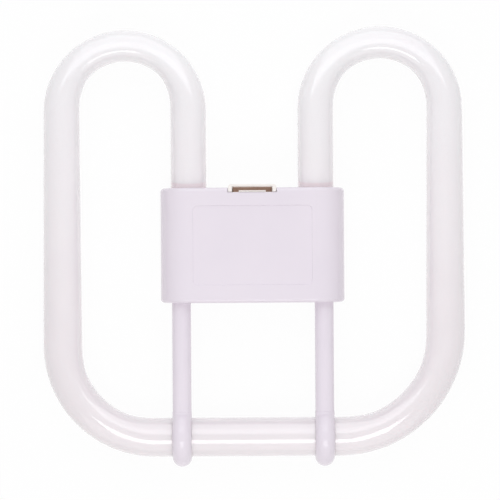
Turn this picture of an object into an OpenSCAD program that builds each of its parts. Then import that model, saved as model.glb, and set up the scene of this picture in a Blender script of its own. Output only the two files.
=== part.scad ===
// Square compact fluorescent lamp: one folded glass discharge tube, held by a central plastic housing.
// It lies on its back. X runs to the right, Y towards the loops, and Z from the back to the front.
// The origin is the centre of the housing's flat back. All sizes are millimetres.

/* [Discharge tube] */
// Diameter of the glass in the inner legs and the loops
tube_d = 17.3; // [15:0.1:19]
// Diameter of the glass in the corners and along the bottom
bottom_tube_d = 18.8; // [15:0.1:20]
// Distance between the axes of the two inner legs
leg_spacing = 61.6; // [58:0.1:70]
// Radius of the left loop, to the tube's axis
loop_r_left = 30.7; // [26:0.1:36]
// Radius of the right loop, to the tube's axis
loop_r_right = 31.3; // [26:0.1:36]
// Height of the left loop's centre above the housing's centre
loop_y_left = 65.2; // [50:0.1:80]
// Height of the right loop's centre above the housing's centre
loop_y_right = 65.9; // [50:0.1:80]
// Radius of the bottom left corner, to the tube's axis
corner_r_left = 44.8; // [25:0.1:54]
// Radius of the bottom right corner, to the tube's axis
corner_r_right = 51.2; // [25:0.1:54]
// Distance of the bottom tube's axis below the housing's centre
bottom_drop = 92.9; // [75:0.1:110]
// Height at which the round glass of an inner leg ends
glass_end_y = 8; // [6:0.1:9]
// Length of the shoulder between the round glass and the pressed seal
shoulder_len = 4; // [3:0.1:6]
// Width of the pressed glass seal
seal_w = 9; // [7:0.1:11]
// Thickness of the pressed glass seal
seal_t = 4; // [3:0.1:5]
// Length of the pressed glass seal
seal_len = 8; // [6:0.1:9]
// Diameter of the sealed-off exhaust stub
stub_d = 2.6; // [2:0.1:2.8]
// Length of the sealed-off exhaust stub
stub_len = 5; // [3:0.1:6]

/* [Housing] */
// Depth of the housing from back to front, which is also the diameter of its round ends
housing_t = 27.4; // [26.6:0.1:30]
// Height of the housing, from its bottom edge to its top edge
housing_h = 55.3; // [54:0.1:62]
// Wall thickness of both covers
wall = 1.8; // [1.4:0.1:2.2]
// Radius of the rim round the top and the bottom
rim_r = 1.7; // [1:0.1:3]
// Width of the shallow panel on the front
panel_w = 57.2; // [40:0.1:60]
// Height of the shallow panel on the front
panel_h = 38.2; // [25:0.1:42]
// Corner radius of the shallow panel
panel_r = 2.4; // [1:0.1:6]
// Depth of the shallow panel
panel_depth = 0.2; // [0.1:0.05:0.6]
// Thickness of the ribs inside the covers
rib_t = 1.6; // [1.2:0.1:2]
// Diameter of the round posts that join the covers
post_d = 5.2; // [4.6:0.1:6]
// Distance between the two lower posts
lower_post_spacing = 50; // [40:1:56]
// Distance of the lower posts' centres above the bottom wall
lower_post_rise = 5.8; // [4:0.1:6.5]
// Diameter of the pins on the front cover's posts
dowel_d = 2.4; // [2:0.1:3]
// Length of the pins on the front cover's posts
dowel_len = 6; // [4:0.1:8]

/* [Arms] */
// Distance between the centre lines of the two arms
arm_spacing = 69; // [60:0.1:72]
// Width of an arm
arm_w = 9.1; // [8:0.1:9.8]
// Distance that a hook stands out beyond each side of its arm
hook_lip = 0.15; // [0.1:0.05:0.4]
// Distance of an arm's widest line in front of the tube's axis
arm_rise = 3.3; // [2.6:0.1:4.5]
// Wall thickness of the channel behind an arm
arm_wall = 1.6; // [1.2:0.1:2]
// Radius of the bend that leads an arm over the tube
arm_bend_r = 6; // [5.6:0.1:8]
// Thickness of the hook, from the tube out
hook_t = 4.65; // [4:0.05:5.2]

/* [Cap] */
// Width of the cap
cap_w = 23.2; // [22:0.1:25]
// Height of the cap's collar above the housing
collar_rise = 1.6; // [1:0.1:3]
// Corner radius of the collar
collar_r = 1.5; // [0.5:0.1:2]
// Distance of the collar's front behind the housing's front
collar_setback = 0.8; // [0.4:0.1:1.2]
// Thickness of the cap's side walls
cap_side_wall = 1.9; // [1.2:0.1:2.4]
// Depth of the socket from back to front
socket_t = 15; // [14:0.1:15.6]
// Depth of the socket below the collar's top
socket_len = 18.6; // [16:0.1:20]
// Thickness of the cap's wall in front of the socket
cap_front_wall = 1.2; // [1:0.1:1.4]
// Thickness of the cap's wall behind the socket
cap_back_wall = 1.7; // [1.2:0.1:2]
// Height of the bar over the cap's window
bar_h = 1; // [0.8:0.1:2]
// Width of the ramp in the middle of the window's sill
sill_w = 13; // [8:0.5:16]
// Height that the ramp climbs on its way in
sill_rise = 0.9; // [0.4:0.1:1.4]
// Depth of the notch in the front cover, below the housing's top
notch_h = 2.35; // [1.8:0.05:3]
// Reach of the flange at each side of the cap
cap_flange_w = 2.4; // [1.6:0.1:3]
// Thickness of the flange at each side of the cap
cap_flange_t = 2; // [1.4:0.1:2.4]

/* [Contacts] */
// Distance between the pins from left to right
pin_spacing_x = 10; // [9:0.1:11]
// Distance between the pins from back to front
pin_spacing_z = 6; // [5.6:0.1:6.6]
// Diameter of a contact pin
pin_d = 2.35; // [2:0.05:2.6]
// Diameter of a contact pin where it is pressed into its base
root_d = 2.8; // [2.7:0.1:3.2]
// Length of a contact pin above the floor of the socket
pin_len = 12; // [9:0.1:14]
// Diameter of the shoulder under the pin base
shoulder_d = 3.6; // [3:0.1:3.8]
// Thickness of the shoulder under the pin base
shoulder_t = 0.8; // [0.6:0.1:1.2]
// Diameter of a pin's tail
tail_d = 1.9; // [1.7:0.1:2.2]
// Length of a pin's tail below the pin base
tail_len = 4; // [3:0.1:4.5]
// Thickness of the pin base that fills the socket's end
base_floor_t = 3; // [2:0.1:4]
// Thickness of the pin base's flange
base_flange_t = 2; // [1.4:0.1:2.4]
// Thickness of the pin base's upright panel
base_panel_t = 1.5; // [1.1:0.1:1.8]

/* [Leads] */
// Diameter of a lead wire
lead_d = 0.6; // [0.4:0.05:0.8]
// Clearance between a lead's sleeve and the exhaust stub beside it
stub_gap = 0.3; // [0.2:0.05:0.6]
// Bend radius of a lead wire
lead_bend_r = 2.5; // [2:0.1:3]
// Distance between the cross runs of an inner and an outer lead
lead_step = 3.5; // [2.5:0.1:4.5]
// Diameter of the insulating sleeve on a lead
sleeve_d = 1.6; // [1.3:0.1:1.8]
// Length of bare lead at each end of a sleeve
bare_len = 1; // [0.6:0.1:1.4]

/* [Clearances] */
// Clearance round the glass where it passes the housing
tube_gap = 0.3; // [0.2:0.05:0.5]
// Clearance between a hook and the tube
hook_gap = 0.25; // [0.15:0.05:0.4]
// Clearance between plastic pieces
gap = 0.2; // [0.15:0.05:0.3]
// Clearance round the gaskets, the dowels and the leads
fit = 0.1; // [0.05:0.05:0.15]

/* [Hidden] */
$fn = 64;

// Colours, as the eye sees each material
glass_colour = [0.94, 0.92, 0.94];
housing_colour = [0.92, 0.89, 0.93];
cap_colour = [0.97, 0.95, 0.92];
base_colour = [0.55, 0.42, 0.37];
brass_colour = [0.80, 0.68, 0.40];
lead_colour = [0.70, 0.70, 0.72];
sleeve_colour = [0.93, 0.91, 0.84];
gasket_colour = [0.80, 0.78, 0.76];

// The tube's axis lies in the split between the two covers
axis_z = housing_t / 2;
leg_x = leg_spacing / 2;
bottom_y = -bottom_drop;
left_leg_len = loop_y_left - bottom_y - corner_r_left;
right_leg_len = loop_y_right - bottom_y - corner_r_right;
bottom_len = leg_spacing + 2 * loop_r_left + 2 * loop_r_right - corner_r_left - corner_r_right;
seal_end_y = glass_end_y - shoulder_len - seal_len;

// Levels of the housing
top_y = housing_h / 2;
top_inner_y = top_y - wall;
housing_w = leg_spacing + housing_t;
front_inner_z = housing_t - wall;
cover_hole_r = tube_d / 2 + tube_gap;
notch_y = top_y - notch_h;

// Gasket behind the top wall, and the ribs that hold it
gasket_t = 3;
gasket_y = top_inner_y - fit - gasket_t;
gasket_rib_y = gasket_y - fit - rib_t;
saddle_rib_y = glass_end_y + 2;

// Levels of the cap
collar_top_y = top_y + collar_rise;
collar_front_z = housing_t - collar_setback;
cap_front_z = front_inner_z - gap;
socket_front_z = cap_front_z - cap_front_wall;
socket_back_z = socket_front_z - socket_t;
cap_back_z = socket_back_z - cap_back_wall;
cap_z = (socket_front_z + socket_back_z) / 2;
socket_w = cap_w - 2 * cap_side_wall;
socket_floor_y = collar_top_y - socket_len;
base_y = socket_floor_y - base_floor_t;
cap_bottom_y = base_y + gap;
base_bottom_y = base_y - base_flange_t;
cap_flange_y = top_inner_y - gap - cap_flange_t;
window_low_y = notch_y + gap;
window_high_y = collar_top_y - bar_h;
sill_top_y = min(window_low_y + sill_rise, window_high_y - bar_h / 2);

// Posts that join the covers: two beside the cap and two below the leads
post_gap = 0.8;
upper_post = [cap_w / 2 + cap_flange_w + post_gap + post_d / 2, saddle_rib_y + rib_t + post_gap + post_d / 2];
lower_post = [lower_post_spacing / 2, lower_post_rise - top_inner_y];
dowel_play = 1;

// Arms and hooks
arm_z = axis_z + arm_rise;
arm_back_z = axis_z + gap;
arm_lap = 1;
hook_w = arm_w + 2 * hook_lip;
hook_seat = hook_w / 2 - hook_t;
hook_path_r = bottom_tube_d / 2 + hook_gap - hook_seat;
hook_start_angle = asin((arm_rise + arm_bend_r) / (hook_path_r + arm_bend_r));
arm_end_y = bottom_y + (hook_path_r + arm_bend_r) * cos(hook_start_angle);

// Contact pins and leads
tail_end_y = base_bottom_y - tail_len;
bore_d = lead_d + 0.4;
bore_len = 3;
lead_in = 2.5;
lead_spacing = stub_d + sleeve_d + 2 * stub_gap;
outer_lead_y = lower_post.y + post_d / 2 + post_gap + sleeve_d / 2;
inner_lead_y = outer_lead_y + lead_step;

// Large enough to cut right through anything here
far = 300;

// Number 1 to 4: the left pair and then the right pair, and in each pair the rear one first
function is_left(i) = i <= 2;
function is_rear(i) = i % 2 == 1;
function pin_x(i) = (is_left(i) ? -1 : 1) * pin_spacing_x / 2;
function pin_z(i) = cap_z + (is_rear(i) ? -1 : 1) * pin_spacing_z / 2;

// A straight rod from the origin along +Y, whose children go on from its end
module run(length, d1, d2) {
    rotate([-90, 0, 0]) cylinder(h = length, d1 = d1, d2 = d2);
    translate([0, length, 0]) children();
}

// A bend from the origin that turns left, or right where the angle is negative
module bend(r, angle, d) {
    side = sign(angle);
    flip = side < 0 ? 1 : 0;
    mirror([flip, 0, 0])
        translate([-r, 0, 0])
        rotate_extrude(angle = abs(angle))
        translate([r, 0])
        circle(d = d);
    translate([-side * r, 0, 0])
        rotate([0, 0, angle])
        translate([side * r, 0, 0])
        children();
}

// Half a ball that bulges towards +Z
module dome(d) {
    rotate_extrude()
        intersection() {
            circle(d = d);
            square(d);
        }
}

// A rectangle with round corners, centred on the origin
module rounded_rect(w, h, r) {
    square([w - 2 * r, h], center = true);
    square([w, h - 2 * r], center = true);
    for (x = [-1, 1], y = [-1, 1])
        translate([x * (w / 2 - r), y * (h / 2 - r)])
        circle(r = r);
}

// A box given by its lowest and highest corner
module box(low, high) {
    translate(low) cube(high - low);
}

// The housing's outer form, drawn in by an inset: flat front and back, and half-round ends
module housing_form(inset) {
    t = housing_t - 2 * inset;
    h = housing_h - 2 * inset;
    r = max(rim_r - inset, 2 * fit);
    translate([0, 0, axis_z]) {
        rotate([90, 0, 90])
            linear_extrude(height = leg_spacing, center = true)
            rounded_rect(h, t, r);
        for (side = [0, 1])
            mirror([side, 0, 0])
            translate([leg_x, 0, 0])
            rotate([90, 0, 0])
            rotate([0, 0, -90])
            rotate_extrude(angle = 180)
            intersection() {
                rounded_rect(t, h, r);
                translate([0, -h]) square([t, 2 * h]);
            }
    }
}

// Everything in front of the split plane, or everything behind it
module front_half() {
    translate([0, 0, axis_z + far / 2]) cube(far, center = true);
}

module rear_half() {
    translate([0, 0, axis_z - far / 2]) cube(far, center = true);
}

// A plate across one round end, which a leg passes through
module leg_rib(y) {
    box([leg_x - axis_z, y, 0], [leg_x + axis_z, y + rib_t, housing_t]);
}

// The ribs that both covers share, before the tube and the cap are cut out of them
module ribs() {
    flange_rib_y = cap_flange_y - gap;
    back_rib_x = cap_w / 3;
    for (side = [0, 1])
        mirror([side, 0, 0]) {
            leg_rib(gasket_rib_y);
            leg_rib(saddle_rib_y);
            // Under the cap's side flange
            box([cap_w / 2, flange_rib_y - rib_t, 0], [cap_w / 2 + cap_flange_w + rib_t, flange_rib_y, housing_t]);
            // Behind the cap
            box([back_rib_x, cap_bottom_y, 0], [back_rib_x + rib_t, top_y, axis_z]);
        }
}

// Rests under the flange of the pin base, short of the pins' tails
module base_rests() {
    reach = pin_spacing_z / 2 + shoulder_d / 2 + gap;
    w = cap_w - 2;
    y = base_bottom_y - gap - rib_t;
    box([-w / 2, y, 0], [w / 2, y + rib_t, cap_z - reach]);
    box([-w / 2, y, cap_z + reach], [w / 2, y + rib_t, housing_t]);
}

// The room that the glass takes up inside the housing and in its top wall
module leg_room() {
    for (side = [-1, 1])
        translate([side * leg_x, glass_end_y, axis_z])
        rotate([-90, 0, 0])
        cylinder(h = far, r = cover_hole_r);
}

// The room that the cap and the pin base take up
module cap_room() {
    half_w = cap_w / 2 + gap;
    box([-half_w, base_bottom_y - gap, cap_back_z - gap], [half_w, far, front_inner_z]);
    box([-half_w, notch_y, axis_z], [half_w, far, far]);
}

// Walls and ribs of the whole housing, before it is split into its covers
module housing_body() {
    difference() {
        union() {
            difference() {
                housing_form(0);
                housing_form(wall);
            }
            intersection() {
                housing_form(wall / 2);
                union() {
                    ribs();
                    base_rests();
                }
            }
        }
        leg_room();
        cap_room();
    }
}

// Places its children at the four posts
module at_posts() {
    for (side = [-1, 1], post = [upper_post, lower_post])
        translate([side * post.x, post.y, 0])
        children();
}

// Half a disc, with its crown along +X and its flat side on the tube
module hook_section() {
    intersection() {
        circle(d = hook_w);
        translate([hook_seat, -hook_w / 2]) square(hook_w);
    }
}

// The end of an arm, drawn with Y to the right and Z upwards.
// Its middle part makes half a turn round the bottom tube.
module hook() {
    translate([bottom_y, axis_z, 0])
        rotate([0, 0, hook_start_angle]) {
            rotate_extrude(angle = 180)
                translate([hook_path_r, 0])
                hook_section();
            // Bend that leads forwards from the arm
            translate([hook_path_r + arm_bend_r, 0, 0])
                rotate([0, 0, 180])
                rotate_extrude(angle = 90 - hook_start_angle)
                translate([arm_bend_r, 0])
                mirror([1, 0])
                hook_section();
            // Round end
            translate([-hook_path_r, 0, 0])
                rotate([0, -90, 0])
                mirror([0, 1, 0])
                rotate_extrude(angle = 180)
                intersection() {
                    rotate([0, 0, 90]) hook_section();
                    translate([0, -hook_w]) square([hook_w, 2 * hook_w]);
                }
        }
}

// Cross section of an arm, with its crown along +Y: half round, with straight sides
module arm_section(w, side_len) {
    intersection() {
        circle(d = w);
        translate([-w / 2, 0]) square(w);
    }
    translate([-w / 2, -side_len]) square([w, side_len]);
}

// One arm, from the housing's bottom wall over, round and under the bottom tube
module arm() {
    root_y = -top_inner_y - wall / 2;
    length = root_y - arm_end_y + arm_lap;
    side_len = arm_z - arm_back_z;
    // Straight part, a channel that is open to the back and runs a little into the bend
    translate([0, root_y, arm_z])
        rotate([90, 0, 0])
        linear_extrude(height = length)
        difference() {
            arm_section(arm_w, side_len);
            arm_section(arm_w - 2 * arm_wall, side_len + 1);
        }
    rotate([90, 0, 90]) hook();
}

// The one-piece glass tube, with a pressed seal and an exhaust stub at each end
module discharge_tube() {
    color(glass_colour)
    translate([0, 0, axis_z]) {
        translate([-leg_x, glass_end_y, 0])
            run(loop_y_left - glass_end_y, tube_d, tube_d)
            bend(loop_r_left, 180, tube_d)
            run(left_leg_len, tube_d, bottom_tube_d)
            bend(corner_r_left, 90, bottom_tube_d)
            run(bottom_len, bottom_tube_d, bottom_tube_d)
            bend(corner_r_right, 90, bottom_tube_d)
            run(right_leg_len, bottom_tube_d, tube_d)
            bend(loop_r_right, 180, tube_d)
            run(loop_y_right - glass_end_y, tube_d, tube_d);
        for (side = [-1, 1])
            translate([side * leg_x, glass_end_y, 0])
            mirror([0, 1, 0])
            run(shoulder_len, tube_d, seal_w) {
                translate([-seal_w / 2, -shoulder_len / 2, -seal_t / 2])
                    cube([seal_w, shoulder_len / 2 + seal_len, seal_t]);
                translate([0, seal_len, 0])
                    run(stub_len - stub_d / 2, stub_d, stub_d)
                    rotate([-90, 0, 0])
                    dome(stub_d);
            }
    }
}

// Front half of the housing, with the two arms moulded on
module front_cover() {
    color(housing_colour)
    difference() {
        union() {
            intersection() {
                housing_body();
                front_half();
            }
            at_posts()
                translate([0, 0, axis_z])
                cylinder(h = axis_z - wall / 2, d = post_d);
            at_posts()
                translate([0, 0, axis_z - dowel_len])
                cylinder(h = dowel_len + 1, d = dowel_d);
            for (side = [-1, 1])
                translate([side * arm_spacing / 2, 0, 0])
                arm();
        }
        // Shallow panel on the front
        translate([0, 0, housing_t - panel_depth])
            linear_extrude(height = far)
            rounded_rect(panel_w, panel_h, panel_r);
    }
}

// Rear half of the housing, which lies flat on what it rests on
module rear_cover() {
    color(housing_colour)
    difference() {
        union() {
            intersection() {
                housing_body();
                rear_half();
            }
            at_posts()
                translate([0, 0, wall / 2])
                cylinder(h = axis_z - wall / 2, d = post_d);
        }
        at_posts()
            translate([0, 0, axis_z - dowel_len - dowel_play])
            cylinder(h = far, d = dowel_d + 2 * fit);
    }
}

// Outline of the cap from the front, from a given height up to its round corners
module cap_outline(low_y) {
    w = cap_w;
    r = collar_r;
    translate([-w / 2, low_y]) square([w, collar_top_y - r - low_y]);
    translate([-w / 2 + r, low_y]) square([w - 2 * r, collar_top_y - low_y]);
    for (side = [-1, 1])
        translate([side * (w / 2 - r), collar_top_y - r])
        circle(r = r);
}

// The window under the collar's front bar, with a ramp on its sill that climbs on its way in
module window() {
    difference() {
        box([-socket_w / 2, window_low_y, socket_front_z - 1], [socket_w / 2, window_high_y, far]);
        rotate([90, 0, 90])
            linear_extrude(height = sill_w, center = true)
            polygon([
                [window_low_y - 1, collar_front_z], [window_low_y, collar_front_z],
                [sill_top_y, socket_front_z], [window_low_y - 1, socket_front_z]
            ]);
    }
}

// The socket that the lamp holder plugs into, with a window under its front bar
module lamp_cap() {
    flange_x = cap_w / 2 + cap_flange_w;
    color(cap_colour)
    difference() {
        union() {
            translate([0, 0, cap_back_z])
                linear_extrude(height = cap_front_z - cap_back_z)
                cap_outline(cap_bottom_y);
            translate([0, 0, cap_front_z])
                linear_extrude(height = collar_front_z - cap_front_z)
                cap_outline(window_low_y);
            box([-flange_x, cap_flange_y, cap_back_z], [flange_x, cap_flange_y + cap_flange_t, cap_front_z]);
        }
        box([-socket_w / 2, -far, socket_back_z], [socket_w / 2, far, socket_front_z]);
        window();
    }
}

// The insulating base: a flange under the cap, a floor in the socket and a panel up its back
module pin_base() {
    x = socket_w / 2 - gap;
    low_z = socket_back_z + gap;
    high_z = socket_front_z - gap;
    rim = cap_w / 2 - gap;
    color(base_colour)
    difference() {
        union() {
            box([-rim, base_bottom_y, cap_back_z + gap], [rim, base_y, cap_front_z - gap]);
            box([-x, base_y, low_z], [x, socket_floor_y, high_z]);
            box([-x, base_y, low_z], [x, collar_top_y - bar_h, low_z + base_panel_t]);
        }
        for (i = [1 : 4])
            translate([pin_x(i), base_bottom_y - 1, pin_z(i)])
            rotate([-90, 0, 0])
            cylinder(h = base_flange_t + base_floor_t + 2, d = root_d + fit);
    }
}

// One contact pin: a hollow tail for its lead, a shoulder under the base, a root in the base,
// and a round-ended shaft in the socket
module contact_pin(i) {
    color(brass_colour)
    translate([pin_x(i), tail_end_y, pin_z(i)])
    difference() {
        run(tail_len - shoulder_t, tail_d, tail_d)
            run(shoulder_t, shoulder_d, shoulder_d)
            run(base_flange_t + base_floor_t, root_d, root_d)
            run(pin_len - pin_d / 2, pin_d, pin_d)
            rotate([-90, 0, 0])
            dome(pin_d);
        translate([0, -1, 0]) run(bore_len + 1, bore_d, bore_d);
    }
}

// A U-shaped rod along a lead's route, from a glass seal across and up into a pin's tail.
// Each trim shortens one of its ends.
module lead_route(i, d, start_trim = 0, end_trim = 0) {
    start_x = leg_x + (is_rear(i) ? -1 : 1) * lead_spacing / 2;
    cross_y = is_rear(i) ? inner_lead_y : outer_lead_y;
    drop = seal_end_y - cross_y;
    across = [start_x - pin_spacing_x / 2, pin_z(i) - axis_z];
    rise = tail_end_y + lead_in - cross_y;
    r = lead_bend_r;
    mirror([is_left(i) ? 0 : 1, 0, 0])
        translate([-start_x, seal_end_y, axis_z])
        rotate([0, -atan2(across.y, across.x), 0])
        rotate([0, 0, 180])
        translate([0, start_trim, 0])
        run(drop - r - start_trim, d, d)
        bend(r, 90, d)
        run(norm(across) - 2 * r, d, d)
        bend(r, 90, d)
        run(rise - r - end_trim, d, d);
}

// One bare lead wire
module lead_wire(i) {
    color(lead_colour) lead_route(i, lead_d);
}

// The insulating sleeve on one lead, short of the pin's tail
module wire_sleeve(i) {
    color(sleeve_colour)
    difference() {
        lead_route(i, sleeve_d, bare_len, lead_in + bare_len);
        lead_route(i, lead_d + fit);
    }
}

// A soft ring round a leg, between the top wall and the first rib
module tube_gasket(side) {
    color(gasket_colour)
    translate([side * leg_x, gasket_y, axis_z])
    rotate([-90, 0, 0])
    difference() {
        cylinder(h = gasket_t, r = axis_z - wall - fit);
        translate([0, 0, -1]) cylinder(h = gasket_t + 2, d = tube_d + fit);
    }
}

discharge_tube();
front_cover();
rear_cover();
lamp_cap();
pin_base();
for (i = [1 : 4]) {
    contact_pin(i);
    lead_wire(i);
    wire_sleeve(i);
}
tube_gasket(-1);  // tube_gasket_left
tube_gasket(1);  // tube_gasket_right
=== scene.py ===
"""Looks of the square compact fluorescent lamp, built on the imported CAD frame. Lengths are metres."""

import math

import bmesh
import bpy
import numpy as np
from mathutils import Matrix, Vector


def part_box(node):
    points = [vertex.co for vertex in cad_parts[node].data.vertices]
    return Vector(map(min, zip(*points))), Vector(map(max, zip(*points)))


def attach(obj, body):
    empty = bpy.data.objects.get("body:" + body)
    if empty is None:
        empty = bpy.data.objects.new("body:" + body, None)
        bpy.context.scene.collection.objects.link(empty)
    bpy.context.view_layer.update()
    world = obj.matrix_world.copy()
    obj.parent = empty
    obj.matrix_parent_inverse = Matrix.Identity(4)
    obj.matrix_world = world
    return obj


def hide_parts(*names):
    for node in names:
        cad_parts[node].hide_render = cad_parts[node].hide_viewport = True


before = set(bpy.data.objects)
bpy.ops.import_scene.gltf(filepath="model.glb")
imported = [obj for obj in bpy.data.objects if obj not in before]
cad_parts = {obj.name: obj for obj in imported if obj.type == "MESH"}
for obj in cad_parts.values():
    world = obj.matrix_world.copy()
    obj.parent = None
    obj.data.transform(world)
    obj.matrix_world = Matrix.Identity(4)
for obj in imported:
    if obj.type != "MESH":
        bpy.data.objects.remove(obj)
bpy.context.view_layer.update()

MM = 0.001
WHITE = (1, 1, 1, 1)

# Levels that come from the solids
low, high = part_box("discharge_tube")
AXIS_Z = (low.z + high.z) / 2
low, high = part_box("rear_cover")
HOUSING_LOW_Y, HOUSING_TOP_Y = low.y, high.y
HOUSING_FRONT_Z = 2 * AXIS_Z

# Route of the glass tube, as the CAD has it
TUBE_D = 17.3 * MM
BOTTOM_TUBE_D = 18.8 * MM
LEG_X = 30.8 * MM
LOOP_R = {"left": 30.7 * MM, "right": 31.3 * MM}
LOOP_Y = {"left": 65.2 * MM, "right": 65.9 * MM}
CORNER_R = {"left": 44.8 * MM, "right": 51.2 * MM}
BOTTOM_Y = -92.9 * MM
GLASS_END_Y = 8 * MM
SHOULDER_LEN = 4 * MM
SEAL_W = 9 * MM
SEAL_T = 4 * MM
SEAL_LEN = 8 * MM
SEAL_EDGE = 0.5 * MM
SEAL_FOOT = 0.1 * MM
STUB_D = 2.6 * MM
STUB_LEN = 5 * MM
STUB_FLARE = 0.3 * MM
FLARE_W, FLARE_T = 1.6, 1.2

# How square a ring is: 2 is an ellipse, and more is squarer
ROUND_POWER = 2.0
FLARE_POWER = 2.4
SEAL_FOOT_POWER = 5
SEAL_POWER = 6

# How the glass flattens where it is bent: its inner side moves out, and its crown moves in
LOOP_DENT = {"left": 2.1 * MM, "right": 1.6 * MM}
CORNER_DENT = {"left": 0.8 * MM, "right": 0.9 * MM}
LOOP_CROWN = 1.9 * MM
CORNER_CROWN = 1.5 * MM
BEND_BULGE = 0.25 * MM
BEND_EASE = 0.3

# Mesh steps
RING_POINTS = 72
ARC_STEP = math.radians(2.5)
STRAIGHT_STEP = 4 * MM
TIP_STEPS = 6
SHOULDER_STEPS = 9
SHOULDER_ROUNDING = 1.6

# Camera over the lamp, which lies on its back
CAMERA_TARGET = Vector((-1.21 * MM, -2.35 * MM, 13.7 * MM))
CAMERA_DISTANCE = 1.0
CAMERA_ROLL = math.radians(-0.35)
VIEW_WIDTH = 242.5 * MM
SENSOR_WIDTH = 36

# Copies of CAD nodes: what counts as a sharp edge, one face and one vertex, and how far edges are rounded
SHARP_EDGE = math.radians(35)
SAME_FACE = math.radians(0.5)
SAME_VERT = 0.001 * MM
FACING_FRONT = 0.999
HOUSING_ROUNDING = 0.3 * MM
CAP_ROUNDING = 0.15 * MM
BASE_ROUNDING = 0.2 * MM

# The front cover's panel, the fine groove round its floor, and the notch that holds the cap's collar
PANEL_HALF_W = 28.6 * MM
PANEL_HALF_H = 19.1 * MM
GROOVE_W = 0.18 * MM
GROOVE_DEPTH = 0.15 * MM
COLLAR_HALF_W = 12.5 * MM
NOTCH_H = 3 * MM
EDGE_BAND = 0.5 * MM

# The coating inside the glass. Its edge dips where the glass faces front, and it is painted whiter towards
# +Y: painted light that stands for the brighter light on the loops.
COATING_EDGE_Y = 31.5 * MM
COATING_DIP = 0.2
COATING_WANDER = 0.3 * MM
COATING_FADE = 0.5 * MM
# Span in Y over which painted light makes the coating whiter
COATING_PAINTED_LIGHT_Y = (-40 * MM, 85 * MM)
INNER_LEG_X = (LEG_X + TUBE_D * 0.55, LEG_X + TUBE_D * 0.65)
UNCOATED_LOW_Y = (-1 * MM, 0)
GLOW_DEPTH = 8 * MM

# Floor. FLOOR_GLOW is the share of plain white in what a ray that looks at a background sees of it,
# so such a ray sees only the other 5 % of the floor's light and shadow.
FLOOR_HALF = 6.0
FLOOR_Z = -0.05 * MM
FLOOR_GLOW = 0.95

# Strength of the world's light on the object
WORLD_LIGHT = 0.45

# Lamps: name, tilt in degrees from straight above towards +Y, width, height, radiance, distance and colour
LAMPS = (
    ("softbox_low", -31, 0.47, 0.22, 3.0, 0.65, (1, 1, 1)),
    ("softbox_high", 31, 0.9, 0.36, 0.5, 0.65, (0.93, 0.97, 1.0)),
    ("wall_high", 52, 1.3, 1.1, 0.7, 0.8, (0.96, 0.98, 1.0)),
    ("wall_low", -60, 1.3, 0.65, 0.4, 0.8, (1, 1, 1)),
)


# ---- Mesh tools

def new_piece(name, verts, faces):
    """A mesh object, shaded smooth except along its sharp edges."""
    mesh = bpy.data.meshes.new(name)
    mesh.from_pydata([tuple(v) for v in verts], [], faces)
    mesh.validate()
    piece = bpy.data.objects.new(name, mesh)
    bpy.context.scene.collection.objects.link(piece)
    shade(piece)
    return piece


def shade(piece):
    """Shades smooth over every edge that isn't sharp."""
    mesh = piece.data
    mesh.shade_smooth()
    mesh.set_sharp_from_angle(angle=SHARP_EDGE)


def loft(name, rings):
    """A closed skin over rings that all have the same number of points, with a flat cap at each end."""
    count = len(rings[0])
    verts = np.concatenate(rings)
    faces = []
    for r in range(len(rings) - 1):
        low, high = r * count, (r + 1) * count
        for i in range(count):
            j = (i + 1) % count
            faces.append((low + i, low + j, high + j, high + i))
    faces.append(tuple(reversed(range(count))))
    faces.append(tuple(range(len(verts) - count, len(verts))))
    return new_piece(name, verts, faces)


def groove_panel(bm):
    """Sinks a fine groove into the panel's floor, all along the foot of its wall."""
    on_floor = [f for f in bm.faces if f.normal.z > FACING_FRONT and all(on_panel(v.co) for v in f.verts)]
    floor = max(on_floor, key=lambda f: f.calc_area())
    foot = list(floor.verts)
    bmesh.ops.inset_region(bm, faces=[floor], thickness=GROOVE_W, use_even_offset=True)
    for vert in foot:
        vert.co.z -= GROOVE_DEPTH


def bevelled_copy(node, name, width, chosen=lambda point: True, finish=lambda bm: None):
    """A copy of a CAD node, which stands for it, with its chosen sharp edges rounded.
    finish gets the rounded mesh and may change it."""
    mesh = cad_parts[node].data.copy()
    bm = bmesh.new()
    bm.from_mesh(mesh)
    bmesh.ops.remove_doubles(bm, verts=bm.verts, dist=SAME_VERT)
    bmesh.ops.dissolve_limit(bm, angle_limit=SAME_FACE, verts=bm.verts, edges=bm.edges)
    sharp = [e for e in bm.edges if e.is_manifold and e.calc_face_angle() > SHARP_EDGE
             and all(chosen(v.co) for v in e.verts)]
    bmesh.ops.bevel(bm, geom=sharp, offset=width, segments=2, profile=0.5,
                    affect="EDGES", clamp_overlap=True)
    bm.normal_update()
    finish(bm)
    bm.to_mesh(mesh)
    bm.free()
    piece = bpy.data.objects.new(name, mesh)
    bpy.context.scene.collection.objects.link(piece)
    shade(piece)
    piece.modifiers.new("flat_faces", "WEIGHTED_NORMAL").keep_sharp = True
    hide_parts(node)
    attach(piece, "root")
    return piece


def on_panel(point):
    """True on the front cover's shallow panel and its outline."""
    return (point.z > HOUSING_FRONT_Z - EDGE_BAND
            and abs(point.x) < PANEL_HALF_W + EDGE_BAND and abs(point.y) < PANEL_HALF_H + EDGE_BAND)


def on_housing_skin(point):
    """True near the housing's front, back, top and split, but not on the arms or panel or by the collar."""
    by_collar = abs(point.x) < COLLAR_HALF_W and point.y > HOUSING_TOP_Y - NOTCH_H
    if point.y < HOUSING_LOW_Y - EDGE_BAND or on_panel(point) or by_collar:
        return False
    return (point.z > HOUSING_FRONT_Z - EDGE_BAND or point.z < EDGE_BAND
            or point.y > HOUSING_TOP_Y - EDGE_BAND or abs(point.z - AXIS_Z) < EDGE_BAND)


# ---- Glass tube

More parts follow.
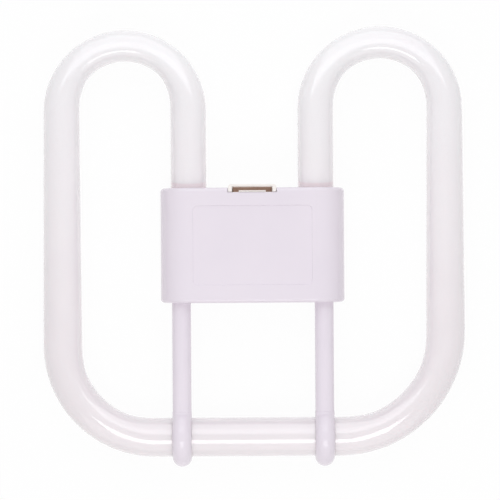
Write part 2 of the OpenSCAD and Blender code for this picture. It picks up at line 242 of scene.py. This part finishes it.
def station(x, y, heading, half_w, half_t, shift=0.0, crown=0.0, power=ROUND_POWER):
    """One ring of the tube: centre, heading in the plane, half width across and half depth.
    shift moves it out of a bend, crown moves its highest line into the bend, and power makes it squarer."""
    return {"at": (x, y), "heading": heading, "half_w": half_w, "half_t": half_t,
            "shift": shift, "crown": crown, "power": power}


def smooth_step(t):
    """0 to 1 with a level start and end."""
    t = min(1.0, max(0.0, t))
    return t * t * (3 - 2 * t)


def ring_points(s):
    """The points of one ring, as a rounded outline that a higher power makes squarer."""
    angles = np.linspace(0, 2 * math.pi, RING_POINTS, endpoint=False)
    cos, sin = np.cos(angles), np.sin(angles)
    half_w = s["half_w"] + np.sign(cos) * s["crown"]
    across = np.sign(cos) * np.abs(cos) ** (2 / s["power"]) * half_w + s["shift"] - s["crown"]
    up = np.sign(sin) * np.abs(sin) ** (2 / s["power"]) * s["half_t"]
    side = (math.sin(s["heading"]), -math.cos(s["heading"]))
    x = s["at"][0] + side[0] * across
    y = s["at"][1] + side[1] * across
    return np.stack([x, y, up + AXIS_Z], axis=1)


def straight(start, end, heading, d1, d2):
    """Stations along a straight run, without its last one."""
    steps = max(2, round(math.dist(start, end) / STRAIGHT_STEP))
    out = []
    for i in range(steps):
        t = i / steps
        r = (d1 + (d2 - d1) * t) / 2
        x = start[0] + (end[0] - start[0]) * t
        y = start[1] + (end[1] - start[1]) * t
        out.append(station(x, y, heading, r, r))
    return out


def arc(centre, radius, start_angle, sweep, d, dent, crown):
    """Stations round a bend that turns left, without its last one, flattened between its ends."""
    steps = round(abs(sweep) / ARC_STEP)
    out = []
    for i in range(steps):
        t = i / steps
        angle = start_angle + sweep * t
        flat = smooth_step(min(t, 1 - t) / BEND_EASE)
        x = centre[0] + radius * math.cos(angle)
        y = centre[1] + radius * math.sin(angle)
        out.append(station(x, y, angle + math.pi / 2, d / 2 - flat * dent / 2, d / 2 + flat * BEND_BULGE,
                           shift=flat * dent / 2, crown=flat * crown))
    return out


def stub_tip(x, tip_y, heading):
    """Stations of the exhaust stub's round tip."""
    r = STUB_D / 2
    out = []
    for i in range(1, TIP_STEPS + 1):
        a = math.pi / 2 * i / TIP_STEPS
        out.append(station(x, tip_y + r * (1 - math.cos(a)), heading, r * math.sin(a), r * math.sin(a)))
    return out


def shoulder(x, start_y, heading):
    """Stations between the flat seal and the round glass."""
    length = SHOULDER_LEN + SEAL_EDGE
    out = []
    for i in range(1, SHOULDER_STEPS):
        t = i / SHOULDER_STEPS
        ease = smooth_step(t)
        half_w = SEAL_W / 2 + (TUBE_D - SEAL_W) / 2 * ease
        half_t = SEAL_T / 2 + (TUBE_D - SEAL_T) / 2 * ease
        power = SEAL_POWER - (SEAL_POWER - ROUND_POWER) * min(1, t * SHOULDER_ROUNDING)
        out.append(station(x, start_y + length * t, heading, half_w, half_t, power=power))
    return out


def tube_end(side, heading):
    """Stations of a pressed end, from the tip of its exhaust stub to the round glass."""
    x = side * LEG_X
    seal_top = GLASS_END_Y - SHOULDER_LEN
    seal_low = seal_top - SEAL_LEN
    r = STUB_D / 2
    half_w, half_t = SEAL_W / 2, SEAL_T / 2
    foot_y = seal_low + SEAL_FOOT
    seal = [
        station(x, seal_low - STUB_FLARE, heading, r, r),
        station(x, seal_low, heading, r * FLARE_W, r * FLARE_T, power=FLARE_POWER),
        station(x, foot_y, heading, half_w - SEAL_EDGE, half_t - SEAL_EDGE, power=SEAL_FOOT_POWER),
        station(x, foot_y + SEAL_EDGE, heading, half_w, half_t, power=SEAL_POWER),
        station(x, seal_top - SEAL_EDGE, heading, half_w, half_t, power=SEAL_POWER),
    ]
    return stub_tip(x, seal_low - STUB_LEN, heading) + seal + shoulder(x, seal_top - SEAL_EDGE, heading)


def loop(side, centre_x):
    """Stations round the loop of one side, "left" or "right"."""
    return arc((centre_x, LOOP_Y[side]), LOOP_R[side], 0, math.pi, TUBE_D, LOOP_DENT[side], LOOP_CROWN)


def corner(side, centre_x, start_angle):
    """Stations round the corner of one side, "left" or "right"."""
    centre = (centre_x, BOTTOM_Y + CORNER_R[side])
    return arc(centre, CORNER_R[side], start_angle, math.pi / 2, BOTTOM_TUBE_D,
               CORNER_DENT[side], CORNER_CROWN)


def tube_route():
    """All stations, from the left seal round to the right seal."""
    up, down, right = (math.radians(a) for a in (90, 270, 360))
    outer_x = {s: LEG_X + 2 * LOOP_R[s] for s in LOOP_R}
    corner_x = {s: outer_x[s] - CORNER_R[s] for s in CORNER_R}
    corner_y = {s: BOTTOM_Y + CORNER_R[s] for s in CORNER_R}
    route = tube_end(-1, up)
    route += straight((-LEG_X, GLASS_END_Y), (-LEG_X, LOOP_Y["left"]), up, TUBE_D, TUBE_D)
    route += loop("left", -LEG_X - LOOP_R["left"])
    route += straight((-outer_x["left"], LOOP_Y["left"]), (-outer_x["left"], corner_y["left"]), down,
                      TUBE_D, BOTTOM_TUBE_D)
    route += corner("left", -corner_x["left"], math.pi)
    route += straight((-corner_x["left"], BOTTOM_Y), (corner_x["right"], BOTTOM_Y), right,
                      BOTTOM_TUBE_D, BOTTOM_TUBE_D)
    route += corner("right", corner_x["right"], -math.pi / 2)
    route += straight((outer_x["right"], corner_y["right"]), (outer_x["right"], LOOP_Y["right"]), up,
                      BOTTOM_TUBE_D, TUBE_D)
    route += loop("right", LEG_X + LOOP_R["right"])
    route += straight((LEG_X, LOOP_Y["right"]), (LEG_X, GLASS_END_Y), down, TUBE_D, TUBE_D)
    return route + list(reversed(tube_end(1, down)))


def make_tube():
    """The whole glass tube in one skin."""
    tube = loft("glass_tube", [ring_points(s) for s in tube_route()])
    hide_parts("discharge_tube")
    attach(tube, "root")
    return tube


# ---- Materials

class Graph:
    """Builds one node material in a few words."""

    def __init__(self, name):
        self.material = bpy.data.materials.new(name)
        self.material.use_nodes = True
        self.nodes = self.material.node_tree.nodes
        self.links = self.material.node_tree.links
        self.shader = self.nodes["Principled BSDF"]
        self.place = self.add("ShaderNodeTexCoord").outputs["Object"]

    def add(self, kind, inputs=(), **settings):
        """A node with its settings, and inputs as (socket, value or output) pairs."""
        node = self.nodes.new(kind)
        for key, value in settings.items():
            setattr(node, key, value)
        for socket, value in inputs:
            self.put(node.inputs[socket], value)
        return node

    def put(self, socket, value):
        """Links an output to the socket, or sets the socket to a plain value."""
        if isinstance(value, bpy.types.NodeSocket):
            self.links.new(value, socket)
        else:
            socket.default_value = value

    def set(self, **inputs):
        """Shader sockets by name, with spaces written as underscores."""
        for key, value in inputs.items():
            self.put(self.shader.inputs[key.replace("_", " ")], value)

    def noise(self, scale, detail=2.0, roughness=0.5, stretch=(1, 1, 1)):
        """Noise in the object's own coordinates, where scale counts blobs per metre."""
        spread = self.add("ShaderNodeMapping", [("Vector", self.place), ("Scale", stretch)])
        made = self.add("ShaderNodeTexNoise", [("Vector", spread.outputs[0]), ("Scale", scale),
                                               ("Detail", detail), ("Roughness", roughness)])
        return made.outputs["Fac"]

    def range(self, value, low, high, start=0.3, end=0.7):
        """Runs from low to high as value runs from start to end. Most noise lies between the defaults."""
        made = self.add("ShaderNodeMapRange", [("Value", value), ("From Min", start), ("From Max", end),
                                               ("To Min", low), ("To Max", high)])
        return made.outputs[0]

    def math(self, operation, a, b):
        return self.add("ShaderNodeMath", [(0, a), (1, b)], operation=operation).outputs[0]

    def absolute(self, value):
        return self.add("ShaderNodeMath", [(0, value)], operation="ABSOLUTE").outputs[0]

    def mix(self, factor, a, b):
        made = self.add("ShaderNodeMix", [(0, factor), (6, a), (7, b)], data_type="RGBA")
        return made.outputs[2]

    def bump(self, height, distance, strength, below=None):
        """A bumped normal, on top of the bump below."""
        inputs = [("Height", height), ("Distance", distance), ("Strength", strength)]
        if below is not None:
            inputs.append(("Normal", below))
        return self.add("ShaderNodeBump", inputs).outputs[0]


def rgb(r, g, b):
    """A colour as the screen shows it, 0 to 255, as the linear value that a shader takes."""
    def linear(c):
        c /= 255
        return c / 12.92 if c <= 0.04045 else ((c + 0.055) / 1.055) ** 2.4
    return (linear(r), linear(g), linear(b), 1.0)


def coating_and_painted_light(g, y):
    """White with painted light that makes it brighter towards +Y, with soft clouds and a fine grain."""
    # Painted light: the coating turns whiter towards +Y, where the loops are lit more
    painted_light = g.range(y, 0, 1, *COATING_PAINTED_LIGHT_Y)
    plain = g.mix(painted_light, rgb(240, 233, 236), rgb(249, 244, 247))
    bright = g.mix(painted_light, rgb(243, 236, 239), rgb(251, 247, 249))
    clouded = g.mix(g.range(g.noise(22, 3), 0, 1), plain, bright)
    return g.mix(g.range(g.noise(2600, 2), 0, 0.25), clouded, rgb(238, 230, 234))


def coating_share(g, x, y, z):
    """0 on the inner legs from the coating's wavy edge to the middle of the housing, and 1 elsewhere."""
    dip = g.math("MULTIPLY", g.math("SUBTRACT", z, AXIS_Z), COATING_DIP)
    wander = g.math("MULTIPLY", g.noise(300, 3), COATING_WANDER)
    edge = g.math("ADD", g.math("ADD", y, dip), wander)
    above = g.range(edge, 0, 1, COATING_EDGE_Y - COATING_FADE, COATING_EDGE_Y + COATING_FADE)
    outside = g.range(g.absolute(x), 0, 1, *INNER_LEG_X)
    below = g.range(y, 1, 0, *UNCOATED_LOW_Y)
    return g.math("MAXIMUM", above, g.math("MAXIMUM", outside, below))


def glass_material():
    """Glossy glass with a white coating inside, which stops short of the housing."""
    g = Graph("tube_glass")
    x, y, z = g.add("ShaderNodeSeparateXYZ", [("Vector", g.place)]).outputs
    colour = g.mix(coating_share(g, x, y, z), rgb(246, 231, 235), coating_and_painted_light(g, y))
    g.set(Base_Color=colour, Roughness=g.range(g.noise(90, 3), 0.06, 0.1), IOR=1.5,
          Subsurface_Weight=0.5, Subsurface_Radius=(1.0, 0.95, 0.95), Subsurface_Scale=GLOW_DEPTH,
          Coat_Weight=1.0, Coat_Roughness=0.05, Coat_IOR=1.55,
          Normal=g.bump(g.noise(60, 2), 0.02 * MM, 0.35))
    return g.material


def plastic_material(name, light, dark, roughness):
    """Moulded plastic with a fine grain, a slow drift of colour and faint flow marks."""
    g = Graph(name)
    drift = g.range(g.noise(28, 3), 0, 1)
    speck = g.range(g.noise(900, 4, 0.6), 0, 0.12)
    colour = g.mix(drift, light, dark)
    colour = g.mix(speck, colour, dark)
    grain = g.bump(g.noise(3200, 3, 0.6), 0.005 * MM, 0.3)
    waves = g.bump(g.noise(70, 2, stretch=(1, 0.4, 1)), 0.02 * MM, 0.3, grain)
    g.set(Base_Color=colour, Roughness=g.range(g.noise(260, 3), roughness - 0.02, roughness + 0.02),
          IOR=1.49, Normal=waves)
    return g.material


def metal_material(name, light, dark, roughness):
    """Drawn metal with fine marks along Y and a slow tarnish."""
    g = Graph(name)
    tarnish = g.range(g.noise(420, 4), 0, 1)
    marks = g.noise(5200, 2, stretch=(1, 0.05, 1))
    g.set(Base_Color=g.mix(tarnish, light, dark), Metallic=1.0,
          Roughness=g.range(g.noise(700, 3), roughness, roughness + 0.15),
          Normal=g.bump(marks, 0.01 * MM, 0.6))
    return g.material


def sleeve_material():
    """Woven fibre sleeving."""
    g = Graph("sleeve_fibre")
    weave = g.add("ShaderNodeTexWave", [("Vector", g.place), ("Scale", 900.0), ("Distortion", 1.5)],
                  bands_direction="DIAGONAL").outputs["Fac"]
    g.set(Base_Color=g.mix(weave, rgb(236, 230, 214), rgb(216, 208, 190)), Roughness=0.8,
          Normal=g.bump(weave, 0.05 * MM, 0.8))
    return g.material


def rubber_material():
    """Matt silicone rubber."""
    g = Graph("gasket_silicone")
    cloud = g.range(g.noise(160, 3), 0, 1)
    g.set(Base_Color=g.mix(cloud, rgb(214, 208, 204), rgb(200, 194, 190)),
          Roughness=g.range(g.noise(500, 3), 0.55, 0.7), Normal=g.bump(g.noise(2400, 3), 0.02 * MM, 0.6))
    return g.material


def paint(obj, material):
    """Gives all of an object one material."""
    obj.data.materials.clear()
    obj.data.materials.append(material)


def paint_node(node, material):
    """Gives all of a CAD node one material."""
    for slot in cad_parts[node].material_slots:
        slot.material = material


# ---- Floor, lamps, world and camera

def light_path_share(nodes, links):
    """1 for rays that look at a background: from the camera, a reflection or through glass."""
    path = nodes.new("ShaderNodeLightPath")
    share = path.outputs["Is Camera Ray"]
    for name in ("Is Glossy Ray", "Is Transmission Ray"):
        either = nodes.new("ShaderNodeMath")
        either.operation = "MAXIMUM"
        links.new(share, either.inputs[0])
        links.new(path.outputs[name], either.inputs[1])
        share = either.outputs[0]
    return share


def make_floor():
    """A pale matt floor. To the camera it is mostly plain white, so the lamp's shadow on it is very faint."""
    corners = [(x * FLOOR_HALF, y * FLOOR_HALF, FLOOR_Z) for x, y in ((-1, -1), (1, -1), (1, 1), (-1, 1))]
    floor = new_piece("floor", corners, [(0, 1, 2, 3)])
    g = Graph("floor_white")
    g.set(Base_Color=rgb(252, 252, 252), Roughness=0.9, Specular_IOR_Level=0.0)
    glow = g.add("ShaderNodeEmission", [("Color", WHITE), ("Strength", 1.0)])
    share = g.math("MULTIPLY", light_path_share(g.nodes, g.links), FLOOR_GLOW)
    both = g.add("ShaderNodeMixShader", [(0, share), (1, g.shader.outputs[0]), (2, glow.outputs[0])])
    g.links.new(both.outputs[0], g.nodes["Material Output"].inputs["Surface"])
    paint(floor, g.material)


def make_world():
    """A dim white surround, which shows as plain white wherever a ray looks at it as a background."""
    world = bpy.data.worlds.new("studio")
    bpy.context.scene.world = world
    world.use_nodes = True
    nodes, links = world.node_tree.nodes, world.node_tree.links
    background = nodes["Background"]
    background.inputs["Color"].default_value = WHITE
    strength = nodes.new("ShaderNodeMapRange")
    strength.inputs["To Min"].default_value = WORLD_LIGHT
    links.new(light_path_share(nodes, links), strength.inputs["Value"])
    links.new(strength.outputs[0], background.inputs["Strength"])


def area_lamp(name, tilt, width, height, radiance, distance, colour):
    """A rectangular lamp that faces the object. tilt is in degrees from straight above towards +Y."""
    tilt = math.radians(tilt)
    direction = Vector((0, math.sin(tilt), math.cos(tilt)))
    data = bpy.data.lights.new(name, "AREA")
    data.shape = "RECTANGLE"
    data.size = width
    data.size_y = height
    data.energy = radiance * math.pi * width * height
    data.color = colour
    lamp = bpy.data.objects.new(name, data)
    lamp.location = CAMERA_TARGET + direction * distance
    lamp.rotation_euler = (-direction).to_track_quat("-Z", "Y").to_euler()
    lamp.visible_camera = False
    bpy.context.scene.collection.objects.link(lamp)


def make_camera():
    """A camera straight above the lamp, with the photo's framing."""
    data = bpy.data.cameras.new("camera")
    data.sensor_width = SENSOR_WIDTH
    data.lens = SENSOR_WIDTH * CAMERA_DISTANCE / VIEW_WIDTH
    camera = bpy.data.objects.new("camera", data)
    camera.location = CAMERA_TARGET + Vector((0, 0, CAMERA_DISTANCE))
    camera.rotation_euler = (0, 0, CAMERA_ROLL)
    bpy.context.scene.collection.objects.link(camera)
    bpy.context.scene.camera = camera


# ---- The scene

make_camera()
make_world()
make_floor()
for lamp in LAMPS:
    area_lamp(*lamp)

glass = glass_material()
housing = plastic_material("housing_plastic", rgb(242, 233, 242), rgb(238, 229, 239), 0.1)
cap = plastic_material("cap_plastic", rgb(255, 250, 246), rgb(252, 246, 242), 0.25)
# The base's tan is partly its own colour and partly painted shade: its brown stands for the deep shade behind
# the cap's window
base = plastic_material("base_plastic", rgb(184, 150, 132), rgb(164, 130, 112), 0.6)
brass = metal_material("pin_brass", rgb(214, 186, 122), rgb(180, 146, 86), 0.25)
lead = metal_material("lead_metal", rgb(196, 196, 200), rgb(160, 160, 166), 0.3)
sleeve = sleeve_material()
gasket = rubber_material()

paint(make_tube(), glass)
paint(bevelled_copy("front_cover", "front_shell", HOUSING_ROUNDING, on_housing_skin, groove_panel), housing)
paint(bevelled_copy("rear_cover", "rear_shell", HOUSING_ROUNDING, on_housing_skin), housing)
paint(bevelled_copy("lamp_cap", "cap_shell", CAP_ROUNDING), cap)
paint(bevelled_copy("pin_base", "contact_base", BASE_ROUNDING), base)
for i in range(1, 5):
    paint_node(f"contact_pin_{i}", brass)
    paint_node(f"lead_wire_{i}", lead)
    paint_node(f"wire_sleeve_{i}", sleeve)
paint_node("tube_gasket_left", gasket)
paint_node("tube_gasket_right", gasket)

bpy.context.scene.view_settings.view_transform = "Standard"
